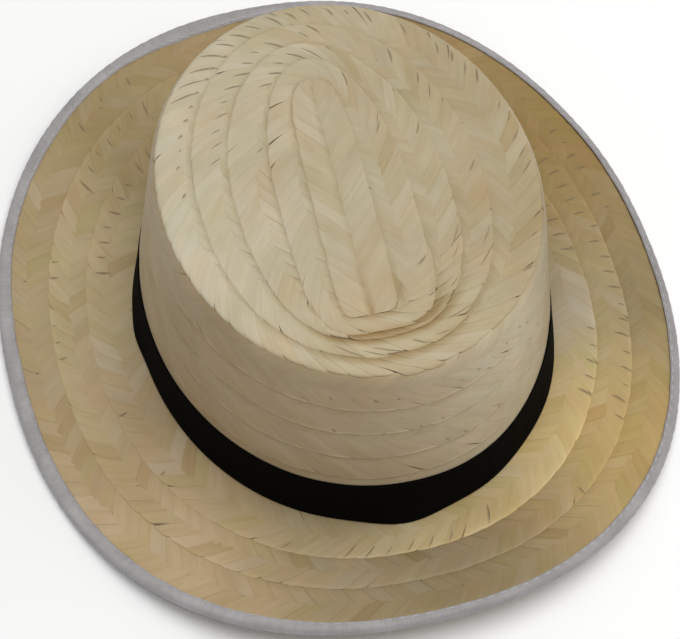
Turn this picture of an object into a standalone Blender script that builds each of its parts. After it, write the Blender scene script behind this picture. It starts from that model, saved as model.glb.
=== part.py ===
"""Straw boater hat: oval crown, wide brim, black ribbon band and a bound brim edge.

Metres, +Z up. X runs across the hat, Y from front (-Y) to back (+Y).
The hat stands on the level side stretches of its brim, at Z = 0, with the middle of
the brim at the origin.
"""
import math

import bpy
from mathutils import Vector

# Crown, measured on the outside of the straw
CROWN_BASE_WIDTH = 0.1670
CROWN_BASE_LENGTH = 0.2015
CROWN_HEIGHT = 0.0860
CROWN_FULLNESS = 2.03
WALL_LEAN = 0.0112
WALL_FOOT = 0.0020
TIP_EDGE_RADIUS = 0.0030
TIP_DOME = 0.0012
TIP_START_WIDTH = 0.0190
TIP_START_LENGTH = 0.1110

# Straw plait, sewn round and round with each round lapping over the next
STRAW_THICKNESS = 0.0016
ROUND_STEP = 0.0008
ROUND_STEP_RUN = 0.0009

# Brim, measured on the straw inside its binding
BRIM_WIDTH = 0.2706
BRIM_LENGTH = 0.3060
BRIM_FULLNESS = 2.23
CROWN_OFF_CENTRE_SIDEWAYS = 0.0018
CROWN_OFF_CENTRE_FRONT = 0.0040
BRIM_SIDE_DROP = 0.0030
BRIM_END_RISE = 0.0095
BRIM_LEVEL_SHARE = 0.40
BRIM_RISE_POWER = 1.5

# Ribbon band round the foot of the crown
BAND_HEIGHT = 0.0236
BAND_THICKNESS = 0.0010

# Folded strip that binds the edge of the brim
BINDING_WIDTH = 0.0022
BINDING_THICKNESS = 0.0010

# Clearance between pieces that touch
FIT_GAP = 0.0003

# Facets round the hat, and facets in a quarter of a rounded edge
FACETS_ROUND = 64
EDGE_FACETS = 3
FOLD_FACETS = 2

# Seams of the tip, as shares of the way from the starting oval to the edge of the tip
TIP_ROUNDS = (
    {"outer_edge": 0.27},
    {"outer_edge": 0.51},
    {"outer_edge": 0.75},
)

# Seams of the wall, as shares of the way from the tip edge down to the ribbon
WALL_ROUNDS = (
    {"lower_edge": 0.05},
    {"lower_edge": 0.29},
    {"lower_edge": 0.52},
    {"lower_edge": 0.75},
    {"lower_edge": 0.97},
)

# Seams of the brim, as shares of the way from the ribbon out to the binding
BRIM_ROUNDS = (
    {"outer_edge": 0.37},
    {"outer_edge": 0.68},
)

STRAW_PALE = (0.56, 0.47, 0.32)
STRAW_TAN = (0.44, 0.34, 0.20)
RIBBON_BLACK = (0.012, 0.010, 0.009)
BINDING_GREY = (0.42, 0.40, 0.40)

# Heights that follow from the sizes above
BINDING_INNER_RADIUS = STRAW_THICKNESS / 2 + FIT_GAP
EDGE_DEPTH = STRAW_THICKNESS / 2 + BINDING_INNER_RADIUS + BINDING_THICKNESS
SEAT_HEIGHT = BRIM_SIDE_DROP + EDGE_DEPTH
SEAT_MARGIN = FIT_GAP + BAND_THICKNESS + FIT_GAP
LAP_HEIGHT = CROWN_HEIGHT - ROUND_STEP
WALL_TOP = LAP_HEIGHT - TIP_DOME - TIP_EDGE_RADIUS


def angles():
    """Directions round the hat, anticlockwise from +X."""
    return [2 * math.pi * i / FACETS_ROUND for i in range(FACETS_ROUND)]


def oval(half_width, half_length, fullness, angle, centre=(0.0, 0.0)):
    """Point of an oval that is an ellipse at fullness 2 and squarer above it."""
    power = 2 / fullness
    across = math.cos(angle)
    along = math.sin(angle)
    x = half_width * math.copysign(abs(across) ** power, across)
    y = half_length * math.copysign(abs(along) ** power, along)
    return Vector((centre[0] + x, centre[1] + y, 0.0))


def between(inner, outer, share):
    """Point at a share of the way between two points."""
    return inner + (outer - inner) * share


def at_height(point, height):
    return Vector((point.x, point.y, height))


def ring(point_at):
    """Closed row of points, one for each direction round the hat."""
    return [point_at(angle) for angle in angles()]


def lofted_surface(name, rows, capped=False):
    """Open surface through rows of points, with the first row filled when capped."""
    points = [point for row in rows for point in row]
    faces = []
    count = FACETS_ROUND
    for row in range(len(rows) - 1):
        for i in range(count):
            j = (i + 1) % count
            here = row * count
            after = here + count
            faces.append((here + i, after + i, after + j, here + j))
    if capped:
        faces.append(tuple(range(count)))
    mesh = bpy.data.meshes.new(name)
    mesh.from_pydata(points, [], faces)
    mesh.validate()
    return mesh


def add_piece(name, mesh, material, thickness, side, collection):
    """Object with its own material, thickened to one side of its surface."""
    piece = bpy.data.objects.new(name, mesh)
    collection.objects.link(piece)
    piece.data.materials.append(material)
    wall = piece.modifiers.new("wall", "SOLIDIFY")
    wall.thickness = thickness
    wall.offset = side
    wall.use_even_offset = True
    mesh.shade_smooth()
    mesh.set_sharp_from_angle(angle=math.radians(30))
    return piece


def principled(name, colour, roughness, metallic=0.0):
    material = bpy.data.materials.new(name)
    material.use_nodes = True
    shader = material.node_tree.nodes["Principled BSDF"]
    shader.inputs["Base Color"].default_value = (*colour, 1.0)
    shader.inputs["Roughness"].default_value = roughness
    shader.inputs["Metallic"].default_value = metallic
    return material


def wall_inset(height):
    """How far the wall leans in at a height above the brim."""
    climb = max(0.0, height - WALL_FOOT) / (CROWN_HEIGHT - WALL_FOOT)
    return WALL_LEAN * climb


def wall_ring(height, proud=0.0):
    """Outline of the crown wall at a height above the brim."""
    out = proud - wall_inset(height)
    half_width = CROWN_BASE_WIDTH / 2 + out
    half_length = CROWN_BASE_LENGTH / 2 + out
    return ring(lambda angle: at_height(oval(half_width, half_length, CROWN_FULLNESS, angle), height))


def flat_tip_half_sizes():
    """Half width and half length of the flat of the tip, inside its rounded edge."""
    inset = wall_inset(WALL_TOP) + TIP_EDGE_RADIUS
    return CROWN_BASE_WIDTH / 2 - inset, CROWN_BASE_LENGTH / 2 - inset


def tip_ring(share, height):
    """Outline on the tip at a share of the way from its starting oval to its edge."""
    edge = flat_tip_half_sizes()
    start = (TIP_START_WIDTH / 2, TIP_START_LENGTH / 2)

    def point_at(angle):
        first = oval(start[0], start[1], CROWN_FULLNESS, angle)
        last = oval(edge[0], edge[1], CROWN_FULLNESS, angle)
        return at_height(between(first, last, share), height)

    return ring(point_at)


def crown_rows():
    """Rows over the tip, round its edge and down the wall."""
    flat_width, flat_length = flat_tip_half_sizes()
    step_share = ROUND_STEP_RUN / (flat_width - TIP_START_WIDTH / 2)
    rows = [tip_ring(0.0, CROWN_HEIGHT), tip_ring(step_share, LAP_HEIGHT)]
    for plait in TIP_ROUNDS:
        share = plait["outer_edge"]
        level = LAP_HEIGHT - TIP_DOME * share
        rows.append(tip_ring(share, level + ROUND_STEP))
        rows.append(tip_ring(share + step_share, level))
    for i in range(EDGE_FACETS + 1):
        turn = 0.5 * math.pi * i / EDGE_FACETS
        height = WALL_TOP + TIP_EDGE_RADIUS * math.cos(turn)
        out = TIP_EDGE_RADIUS * math.sin(turn)
        rows.append(ring(lambda angle: at_height(
            oval(flat_width + out, flat_length + out, CROWN_FULLNESS, angle), height)))
    bottom = BAND_HEIGHT + ROUND_STEP_RUN
    for plait in WALL_ROUNDS:
        height = WALL_TOP + (bottom - WALL_TOP) * plait["lower_edge"]
        rows.append(wall_ring(height, ROUND_STEP))
        rows.append(wall_ring(height - ROUND_STEP_RUN))
    rows.append(wall_ring(WALL_FOOT))
    rows.append(wall_ring(FIT_GAP))
    return rows


def band_rows():
    """Rows up the inner face of the ribbon, just clear of the straw."""
    return [wall_ring(height, FIT_GAP) for height in (BAND_HEIGHT, WALL_FOOT, FIT_GAP)]


def edge_rise(angle):
    """Height of the brim's edge above the foot of the crown, level along both sides."""
    reach = max(0.0, abs(math.sin(angle)) - BRIM_LEVEL_SHARE) / (1 - BRIM_LEVEL_SHARE)
    return -BRIM_SIDE_DROP + (BRIM_END_RISE + BRIM_SIDE_DROP) * reach ** BRIM_RISE_POWER


def brim_edge_point(angle, inset):
    """Point on the brim near its edge, at a distance in from the edge of the straw."""
    centre = (-CROWN_OFF_CENTRE_SIDEWAYS, CROWN_OFF_CENTRE_FRONT)
    half_width = BRIM_WIDTH / 2 - inset
    half_length = BRIM_LENGTH / 2 - inset
    return oval(half_width, half_length, BRIM_FULLNESS, angle, centre)


def seat_point(angle, margin):
    """Point on the level seat of the crown, at a margin out from the wall."""
    half_width = CROWN_BASE_WIDTH / 2 + margin
    half_length = CROWN_BASE_LENGTH / 2 + margin
    return oval(half_width, half_length, CROWN_FULLNESS, angle)


def brim_ring(share, lift=0.0):
    """Row on the brim at a share of the way from the ribbon out to the binding."""
    def point_at(angle):
        inner = seat_point(angle, SEAT_MARGIN)
        outer = brim_edge_point(angle, BINDING_WIDTH + FIT_GAP)
        return at_height(between(inner, outer, share), edge_rise(angle) * share + lift)

    return ring(point_at)


def brim_rows():
    """Rows from the head opening out to the edge of the brim."""
    exposed = (BRIM_WIDTH - CROWN_BASE_WIDTH) / 2 - SEAT_MARGIN - BINDING_WIDTH
    step_share = ROUND_STEP_RUN / exposed
    rows = [ring(lambda angle: seat_point(angle, -STRAW_THICKNESS)), brim_ring(0.0)]
    for plait in BRIM_ROUNDS:
        share = plait["outer_edge"]
        rows.append(brim_ring(share, ROUND_STEP))
        rows.append(brim_ring(share + step_share))
    rows.append(brim_ring(1.0))
    rows.append(ring(lambda angle: at_height(brim_edge_point(angle, 0.0), edge_rise(angle))))
    return rows


def binding_rows():
    """Rows round the inner face of the folded strip, from top to underside."""
    radius = BINDING_INNER_RADIUS
    section = [(-BINDING_WIDTH, radius)]
    for i in range(2 * FOLD_FACETS + 1):
        turn = 0.5 * math.pi * (1 - i / FOLD_FACETS)
        section.append((radius * math.cos(turn), radius * math.sin(turn)))
    section.append((-BINDING_WIDTH, -radius))

    def row(out, up):
        return ring(lambda angle: at_height(
            brim_edge_point(angle, -out), edge_rise(angle) - STRAW_THICKNESS / 2 + up))

    return [row(out, up) for out, up in section]


def clear_scene():
    for item in list(bpy.data.objects):
        bpy.data.objects.remove(item, do_unlink=True)


def build():
    clear_scene()
    hat = bpy.data.collections.new("straw_boater")
    bpy.context.scene.collection.children.link(hat)
    seat = bpy.data.objects.new("crown_seat", None)
    seat.location = (CROWN_OFF_CENTRE_SIDEWAYS, -CROWN_OFF_CENTRE_FRONT, SEAT_HEIGHT)
    hat.objects.link(seat)

    inwards = -1.0
    outwards = 1.0
    crown = add_piece(
        "crown",
        lofted_surface("crown", crown_rows(), capped=True),
        principled("pale_straw", STRAW_PALE, 0.62),
        STRAW_THICKNESS, inwards, hat)
    brim = add_piece(
        "brim",
        lofted_surface("brim", brim_rows()),
        principled("tan_straw", STRAW_TAN, 0.62),
        STRAW_THICKNESS, inwards, hat)
    band = add_piece(
        "hat_band",
        lofted_surface("hat_band", band_rows()),
        principled("black_ribbon", RIBBON_BLACK, 0.80),
        BAND_THICKNESS, outwards, hat)
    binding = add_piece(
        "brim_binding",
        lofted_surface("brim_binding", binding_rows()),
        principled("grey_binding", BINDING_GREY, 0.50),
        BINDING_THICKNESS, outwards, hat)
    for piece in (crown, brim, band, binding):
        piece.parent = seat


build()
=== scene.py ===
import math

import bpy
import numpy as np
from mathutils import Matrix, Vector


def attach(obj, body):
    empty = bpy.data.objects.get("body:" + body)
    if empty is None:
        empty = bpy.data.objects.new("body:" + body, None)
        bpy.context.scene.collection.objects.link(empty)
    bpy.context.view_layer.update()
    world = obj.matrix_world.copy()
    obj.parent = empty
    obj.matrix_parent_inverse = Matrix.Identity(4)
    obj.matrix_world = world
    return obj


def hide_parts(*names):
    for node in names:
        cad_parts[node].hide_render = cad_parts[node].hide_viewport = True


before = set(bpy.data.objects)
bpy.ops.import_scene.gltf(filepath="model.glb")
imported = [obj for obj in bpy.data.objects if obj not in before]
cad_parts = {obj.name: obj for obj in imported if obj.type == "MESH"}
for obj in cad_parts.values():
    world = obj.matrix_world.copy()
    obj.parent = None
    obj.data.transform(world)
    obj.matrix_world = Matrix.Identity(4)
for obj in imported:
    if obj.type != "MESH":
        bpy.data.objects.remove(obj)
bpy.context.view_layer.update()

# Sizes of the hat in metres, the same as in the solids
CROWN_WIDTH, CROWN_LENGTH, CROWN_HEIGHT = 0.1670, 0.2015, 0.0860
CROWN_FULLNESS = 2.03
WALL_LEAN, WALL_FOOT = 0.0112, 0.0020
TIP_EDGE_RADIUS, TIP_DOME = 0.0030, 0.0012
STRAW_THICKNESS, ROUND_STEP = 0.0016, 0.0008
BRIM_WIDTH, BRIM_LENGTH, BRIM_FULLNESS = 0.2706, 0.3060, 2.23
BRIM_SIDE_DROP, BRIM_END_RISE = 0.0030, 0.0095
BRIM_LEVEL_SHARE, BRIM_RISE_POWER = 0.40, 1.5
BAND_THICKNESS, BINDING_WIDTH, FIT_GAP = 0.0010, 0.0022, 0.0003
SEAT = np.array([0.0018, -0.0040, 0.0059])

# Slow unevenness of the straw: its height on tip and brim, the share by which the tip sits low in it,
# how near the rim it fades out, and how much the strip's middle line is shorter than its edges
TIP_UNEVENNESS, BRIM_UNEVENNESS = 0.00030, 0.00045
TIP_LOWNESS, TIP_FADE, STRIP_TAPER = 0.6, 0.008, 0.15

SEAT_MARGIN = BAND_THICKNESS + 2 * FIT_GAP
LAP_HEIGHT = CROWN_HEIGHT - ROUND_STEP
WALL_TOP = LAP_HEIGHT - TIP_DOME - TIP_EDGE_RADIUS
TOP_LEAN = WALL_LEAN * (WALL_TOP - WALL_FOOT) / (CROWN_HEIGHT - WALL_FOOT)
FLAT_HALF_WIDTH = CROWN_WIDTH / 2 - TOP_LEAN - TIP_EDGE_RADIUS
FLAT_HALF_LENGTH = CROWN_LENGTH / 2 - TOP_LEAN - TIP_EDGE_RADIUS
EDGE_ARC = TIP_EDGE_RADIUS * math.pi / 2
WALL_REACH = math.hypot(WALL_TOP - WALL_FOOT, TOP_LEAN) + WALL_FOOT
BRIM_REACH = (BRIM_WIDTH - CROWN_WIDTH) / 2 - SEAT_MARGIN - BINDING_WIDTH - FIT_GAP

TURN = 2 * math.pi

# Edges of the turns of plait on the flat tip, from the first strip out to the rim, in metres;
# lean is how far an edge drifts sideways for each metre towards the back
EDGE_COLUMNS = ("half_width", "half_length", "side", "back", "lean", "back_fullness", "front_fullness")
TIP_EDGES = [dict(zip(EDGE_COLUMNS, row)) for row in (
    (0.0115, 0.0560, -0.0044, -0.0065, 0.048, 3.4, 9.0),
    (0.0255, 0.0655, -0.0030, -0.0045, 0.025, 2.1, 4.4),
    (0.0408, 0.0714, -0.0037, -0.0016, 0.0, 1.9, 2.6),
    (0.0545, 0.0805, -0.0035, -0.0005, 0.0, 2.0, 2.2),
)]
TIP_WIDTHS = (0.0155, 0.0153, 0.0137, 0.0155)
TIP_STARTS = [sum(TIP_WIDTHS[:number]) for number in range(5)]
TIP_REACH = TIP_STARTS[4]


# The hat's surfaces


def oval(half_width, half_length, fullness, way):
    """Points of an oval, an ellipse at fullness 2 and squarer above it."""
    across, along = np.cos(way), np.sin(way)
    power = 2 / fullness
    return (half_width * np.sign(across) * np.abs(across) ** power,
            half_length * np.sign(along) * np.abs(along) ** power)


class Edge:
    """Oval edge that is walked at an even pace within each quarter of the way round."""

    QUARTER = 720

    def __init__(self, half_width, half_length, side=0.0, back=0.0, lean=0.0,
                 back_fullness=CROWN_FULLNESS, front_fullness=CROWN_FULLNESS):
        turn = np.linspace(0, TURN, 4 * self.QUARTER + 1)
        across, along = np.cos(turn), np.sin(turn)
        power = np.where(along > 0, back_fullness, front_fullness)
        far = (np.abs(across / half_width) ** power + np.abs(along / half_length) ** power) ** (-1 / power)
        self.y = far * along + back
        self.x = far * across + side + lean * self.y
        step = np.hypot(np.diff(self.x), np.diff(self.y)).reshape(4, self.QUARTER)
        share = np.cumsum(step, axis=1) / step.sum(axis=1, keepdims=True)
        way = (np.arange(4)[:, None] + share) * TURN / 4
        self.way = np.concatenate([[0.0], way.ravel()])

    def at(self, way):
        way = np.mod(way, TURN)
        return np.interp(way, self.way, self.x), np.interp(way, self.way, self.y)


RIM = Edge(FLAT_HALF_WIDTH, FLAT_HALF_LENGTH)
FOOT = Edge(CROWN_WIDTH / 2, CROWN_LENGTH / 2)
STRIP = Edge(**TIP_EDGES[0])
EDGES = [STRIP] + [Edge(**row) for row in TIP_EDGES[1:]] + [RIM]


def dents(x, y):
    """Slow unevenness of sewn straw, from about -1 to 1."""
    return (np.sin(95 * x + 40 * y + 0.7) + np.sin(-70 * x + 120 * y + 2.1) + np.sin(180 * x - 90 * y + 4.0)
            + np.sin(60 * x + 210 * y + 5.2)) / 4


def tip_dents(x, y):
    """Height of the uneven straw on the flat tip."""
    return TIP_UNEVENNESS * (dents(x, y) - TIP_LOWNESS)


def crown_sheet(reach, way):
    """Crown surface: reach runs in metres from the first strip over the tip and down the wall."""
    reach, way = np.broadcast_arrays(reach, way)
    spots = [edge.at(way) for edge in EDGES]
    x, y = spots[0]
    inward = np.clip(-reach / TIP_EDGES[0]["half_width"], 0, 1)
    x = x - (x - TIP_EDGES[0]["side"] - TIP_EDGES[0]["lean"] * y) * inward
    y = y - (y - TIP_EDGES[0]["back"]) * inward * STRIP_TAPER
    for number in range(1, 5):
        share = np.clip((reach - TIP_STARTS[number - 1]) / TIP_WIDTHS[number - 1], 0, 1)
        x = x + (spots[number][0] - spots[number - 1][0]) * share
        y = y + (spots[number][1] - spots[number - 1][1]) * share
    arc = np.clip((reach - TIP_REACH) / EDGE_ARC, 0, 1) * math.pi / 2
    down = np.clip((reach - TIP_REACH - EDGE_ARC) / WALL_REACH, 0, 1)
    wall_height = WALL_TOP * (1 - down)
    lean = WALL_LEAN * np.clip(wall_height - WALL_FOOT, 0, None) / (CROWN_HEIGHT - WALL_FOOT)
    out = TIP_EDGE_RADIUS * np.sin(arc) + np.where(down > 0, TOP_LEAN - lean, 0)
    share = out / (TIP_EDGE_RADIUS + TOP_LEAN)
    foot_x, foot_y = FOOT.at(way)
    x = x + (foot_x - spots[4][0]) * share
    y = y + (foot_y - spots[4][1]) * share
    z = np.where(reach < TIP_REACH, LAP_HEIGHT - TIP_DOME * np.clip(reach / TIP_REACH, 0, 1),
                 np.where(down > 0, wall_height, WALL_TOP + TIP_EDGE_RADIUS * np.cos(arc)))
    z = z + tip_dents(x, y) * np.clip((TIP_REACH - reach) / TIP_FADE, 0, 1)
    return np.stack([x, y, z], -1) + SEAT


def edge_rise(way):
    """Height of the brim's edge over the foot of the crown."""
    share = np.clip(np.abs(np.sin(way)) - BRIM_LEVEL_SHARE, 0, None) / (1 - BRIM_LEVEL_SHARE)
    return -BRIM_SIDE_DROP + (BRIM_END_RISE + BRIM_SIDE_DROP) * share ** BRIM_RISE_POWER


def brim_edge(inset, way):
    """Points on the edge of the brim, at a distance in from the edge of the straw."""
    x, y = oval(BRIM_WIDTH / 2 - inset, BRIM_LENGTH / 2 - inset, BRIM_FULLNESS, way)
    return x, y, edge_rise(way) + SEAT[2]


def brim_sheet(reach, way):
    """Brim surface: reach runs in metres from the ribbon out to the binding and under it."""
    reach, way = np.broadcast_arrays(reach, way)
    share = np.minimum(reach / BRIM_REACH, 1)
    in_x, in_y = oval(CROWN_WIDTH / 2 + SEAT_MARGIN, CROWN_LENGTH / 2 + SEAT_MARGIN, CROWN_FULLNESS, way)
    past = np.clip(reach - BRIM_REACH, 0, BINDING_WIDTH)
    out_x, out_y, out_z = brim_edge(BINDING_WIDTH + FIT_GAP - past, way)
    x = in_x + SEAT[0] + (out_x - in_x - SEAT[0]) * share
    y = in_y + SEAT[1] + (out_y - in_y - SEAT[1]) * share
    share = np.clip(share, 0, 1)
    z = SEAT[2] + (out_z - SEAT[2]) * share
    z = z + BRIM_UNEVENNESS * dents(x, y) * 4 * share * (1 - share)
    return np.stack([x, y, z], -1)


def waves(way, seed, lengths):
    """Slow random ripples round the hat, about 1 high, with the given numbers of waves."""
    rng = np.random.default_rng(seed)
    total = sum(np.sin(count * way + rng.uniform(0, TURN)) * rng.uniform(0.5, 1.0) for count in lengths)
    return total / len(lengths)


def bulge(way, middle, spread):
    """1 at a bearing in degrees, falling to 0 over the spread."""
    off = np.abs(np.mod(way - math.radians(middle) + math.pi, TURN) - math.pi)
    return np.exp(-(off / math.radians(spread)) ** 2)


def bulges(way, rows, level=0.0):
    """A level with bulges added to it, each a row of bearing, spread and height."""
    return sum((height * bulge(way, middle, spread) for middle, spread, height in rows), level)


def outward(sheet, reach, way):
    """Unit normals of a sheet, pointing out of the hat."""
    small, turn = 3e-4, 6e-3
    across = sheet(reach + small, way) - sheet(reach - small, way)
    along = sheet(reach, way + turn) - sheet(reach, way - turn)
    normal = np.cross(across, along)
    return normal / np.maximum(np.linalg.norm(normal, axis=-1, keepdims=True), 1e-12)


def raised(sheet, reach, way, height, face=1):
    """Points at a height over the sheet's outer face, or under its inner face when face is -1."""
    place, normal = sheet(reach, way), outward(sheet, reach, way)
    if face < 0:
        height = -STRAW_THICKNESS - height
    return place + normal * np.asarray(height)[..., None]


# Mesh making


class Piece:
    """Gathers grids of points into one mesh with a tint and a grain for each point."""

    def __init__(self):
        self.points, self.faces, self.tints, self.grains, self.count = [], [], [], [], 0

    def grid(self, points, tint, grain, flip=False, wrap=False, closed=False, keep=None):
        """Adds a stack of grids, shaped (pieces, rows, columns, 3); wrap and closed join their ends."""
        stack, rows, columns = points.shape[:3]
        index = np.arange(stack * rows * columns).reshape(stack, rows, columns) + self.count
        if wrap:
            index = np.concatenate([index, index[:, :, :1]], 2)
        if closed:
            index = np.concatenate([index, index[:, :1]], 1)
        quad = [index[:, :-1, :-1], index[:, 1:, :-1], index[:, 1:, 1:], index[:, :-1, 1:]]
        if flip:
            quad = quad[::-1]
        quad = np.stack(quad, -1)
        self.faces.append(quad.reshape(-1, 4) if keep is None else quad[keep])
        self.points.append(points.reshape(-1, 3))
        self.tints.append(np.broadcast_to(tint, points.shape).reshape(-1, 3))
        self.grains.append(np.broadcast_to(grain, points.shape).reshape(-1, 3))
        self.count += points.size // 3

    def finish(self, name, material, node, slot):
        points, faces = np.concatenate(self.points), np.concatenate(self.faces)
        tints, grains = np.concatenate(self.tints), np.concatenate(self.grains)
        used = np.zeros(len(points), bool)
        used[faces] = True
        faces = (np.cumsum(used) - 1)[faces]
        points, tints, grains = points[used], tints[used], grains[used]
        mesh = bpy.data.meshes.new(name)
        mesh.vertices.add(len(points))
        mesh.vertices.foreach_set("co", points.astype(np.float32).ravel())
        mesh.loops.add(faces.size)
        mesh.loops.foreach_set("vertex_index", faces.astype(np.int32).ravel())
        mesh.polygons.add(len(faces))
        mesh.polygons.foreach_set("loop_start", np.arange(0, faces.size, 4, dtype=np.int32))
        mesh.update()
        tints = np.c_[tints, np.ones(len(points))]
        for key, kind, field, values in (("tint", "FLOAT_COLOR", "color", tints),
                                         ("grain", "FLOAT_VECTOR", "vector", grains)):
            layer = mesh.attributes.new(key, kind, "POINT")
            layer.data.foreach_set(field, values.astype(np.float32).ravel())
        mesh.shade_smooth()
        mesh.set_sharp_from_angle(angle=math.radians(50))
        piece = bpy.data.objects.new(name, mesh)
        bpy.context.scene.collection.objects.link(piece)
        mesh.materials.append(material)
        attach(piece, "root")
        if node:
            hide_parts(node)
        print(name, len(faces) * 2, "triangles")
        return piece


# Plaited leaf


class Turn:
    """One turn of plait round the hat, by depth in from its free edge and distance along it."""

    WAYS, DEPTHS, DEEPEST = 361, 61, 0.030
    SAMPLES, PACED_AT = 25, 0.006

    def __init__(self, sheet, edge, back, lap, apex, step):
        self.sheet, self.lap, self.apex, self.step = sheet, lap, apex, step
        way = np.linspace(0, TURN, self.WAYS)
        lapped = back + math.copysign(lap, back - edge)
        reach = np.concatenate([np.linspace(edge, back, self.SAMPLES), [lapped]])
        points = sheet(reach[None, :], way[:, None])
        steps = np.linalg.norm(np.diff(points, axis=1), axis=2)
        depth = np.concatenate([np.zeros((self.WAYS, 1)), np.cumsum(steps, axis=1)], 1)
        self.width = depth[:, -2]
        levels = np.linspace(0, self.DEEPEST, self.DEPTHS)
        self.table = np.stack([np.interp(levels, row, reach) for row in depth])
        line = sheet(self.reach(way, np.minimum(self.width * 0.5, self.PACED_AT)), way)
        self.way = way
        self.run = np.concatenate([[0], np.cumsum(np.linalg.norm(np.diff(line, axis=0), axis=1))])
        self.length = self.run[-1]

    def reach(self, way, depth):
        """Where a depth in from the free edge lies on the sheet."""
        column = np.mod(way, TURN) / TURN * (self.WAYS - 1)
        level = np.clip(depth, 0, self.DEEPEST) / self.DEEPEST * (self.DEPTHS - 1)
        i, j = np.minimum(column.astype(int), self.WAYS - 2), np.minimum(level.astype(int), self.DEPTHS - 2)
        p, q = column - i, level - j
        table = self.table
        return ((table[i, j] * (1 - p) + table[i + 1, j] * p) * (1 - q)
                + (table[i, j + 1] * (1 - p) + table[i + 1, j + 1] * p) * q)

    def bearing(self, along):
        """Way round at a distance along the turn."""
        return np.interp(np.mod(along, self.length), self.run, self.way)

    def facing(self, along):
        """Bearing of a place on the turn as seen from the middle of the hat."""
        spot = self.sheet(self.reach(self.bearing(along), self.apex), self.bearing(along)) - SEAT
        return np.arctan2(spot[..., 1], spot[..., 0])

    def exposed(self, along):
        """Width of the turn that the one above it leaves showing."""
        return np.interp(self.bearing(along), self.way, self.width)

    def lay(self, along, depth, height, face):
        way = self.bearing(along)
        return raised(self.sheet, self.reach(way, depth), way, height, face)


class Strip:
    """Half of the straight strip that the tip starts from, by depth in from its long edge."""

    def __init__(self, side, step):
        shape = TIP_EDGES[0]
        self.side, self.lap, self.apex, self.step = side, 0.0, shape["half_width"], step
        self.half_width, self.half_length = shape["half_width"], shape["half_length"]
        self.length = self.half_length * 2

    def facing(self, along):
        return np.full(np.shape(along), 0.0 if self.side > 0 else math.pi)

    def exposed(self, along):
        return np.full(np.shape(along), self.half_width)

    def lay(self, along, depth, height, face):
        shape = TIP_EDGES[0]
        y = np.clip(along - self.half_length, -self.half_length * 0.999, self.half_length * 0.999)
        power = np.where(y > 0, shape["back_fullness"], shape["front_fullness"])
        half = self.half_width * (1 - np.abs(y / self.half_length) ** power) ** (1 / power)
        y = y + shape["back"]
        x = self.side * half * (1 - depth / self.half_width) + shape["side"] + shape["lean"] * y
        z = LAP_HEIGHT + height if face > 0 else LAP_HEIGHT - STRAW_THICKNESS - height
        z = z + tip_dents(x, y)
        return np.stack([x, y, z], -1) + SEAT

    def kept(self, along):
        """Faces of each blade that lie between the strip's two cut ends."""
        inside = (along > 0) & (along < self.length)
        return inside[:, 1:, 1:] | inside[:, :-1, 1:] | inside[:, 1:, :-1] | inside[:, :-1, :-1]


def main_leaf(plait):
    """Colour of the leaf that a plait is mostly made of."""
    return np.array(plait["leaf"][0][0])


def leaf_tints(rng, count, plait):
    """One colour for each blade of leaf, drawn between the colours of the plait's leaf."""
    colours, chance = (np.array(column) for column in zip(*plait["leaf"]))
    colours = colours[0] + (colours - colours[0]) * plait["variety"]
    first = rng.choice(len(colours), count, p=chance / chance.sum())
    second = rng.choice(len(colours), count, p=chance / chance.sum())
    blend = rng.uniform(0, 0.5, count)[:, None]
    tint = colours[first] * (1 - blend) + colours[second] * blend
    return tint * (1 + plait["variety"] * rng.uniform(-0.03, 0.03, count)[:, None])


# The front of the tip, where the turns crowd together, in shares of half the brim's width and length
FRONT_PATCH = {"east": -0.02, "north": -0.50, "half_width": 0.30, "half_length": 0.13}


def front_patch(points):
    """1 in the middle of the front patch, falling to 0 round it."""
    east, north = points[..., 0] / (BRIM_WIDTH / 2), points[..., 1] / (BRIM_LENGTH / 2)
    return np.exp(-((east - FRONT_PATCH["east"]) / FRONT_PATCH["half_width"]) ** 2
                  - ((north - FRONT_PATCH["north"]) / FRONT_PATCH["half_length"]) ** 2)


def aged_and_painted_light(points, ageing_and_painted_light):
    """How the leaf's colour drifts over the hat: to the right, in the front patch and by bearing; partly the
    leaf's own colour changing with age and partly painted light and shade, as on the wall.
    """
    east = points[..., :1] / (BRIM_WIDTH / 2)
    drift = 1 + east * np.array(ageing_and_painted_light["right"])
    drift = drift + front_patch(points)[..., None] * np.array(ageing_and_painted_light["front_patch"])
    bearing = np.arctan2(points[..., 1:2] - SEAT[1], points[..., :1] - SEAT[0])
    for middle, spread, *tone in ageing_and_painted_light["sides"]:
        drift = drift + bulge(bearing, middle, spread) * np.array(tone)
    return drift


# Rows of points along a blade and across it, as shares; across runs from the tucked side to the top
# one, and its last point folds down to close the blade
FINE_ROWS = np.array([0, 0.03, 0.07, 0.12, 0.30, 0.54, 0.78, 0.94, 1])
FINE_SIDES = np.array([-0.5, -0.44, -0.2, 0.1, 0.34, 0.46, 0.5, 0.505])
COARSE_ROWS, COARSE_SIDES = np.array([0, 0.1, 0.55, 1]), np.array([-0.5, -0.1, 0.4, 0.505])
FOLDED_FROM = 0.501

# How blades lie, in metres: how far the two columns pass each other, the shortest blade and row, the
# part of a free edge that tucks under and how deep, a blade's lift and a turn's least width
COLUMNS_PASS, SHORTEST_BLADE, SHORTEST_ROW = 0.0007, 0.0012, 0.0002
EDGE_TUCK, TUCK_DEPTH, BLADE_LIFT, LEAST_SHOWING = 0.0006, 0.0002, 0.0001, 0.003
# Degrees round the hat in which a turn swells or goes quiet, and where edges are more ragged by how much
SIDE_SPREAD, CROWDED_AT, CROWDED_SPREAD, CROWDED_RAGGED = 50, 268, 22, 0.0013
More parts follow.
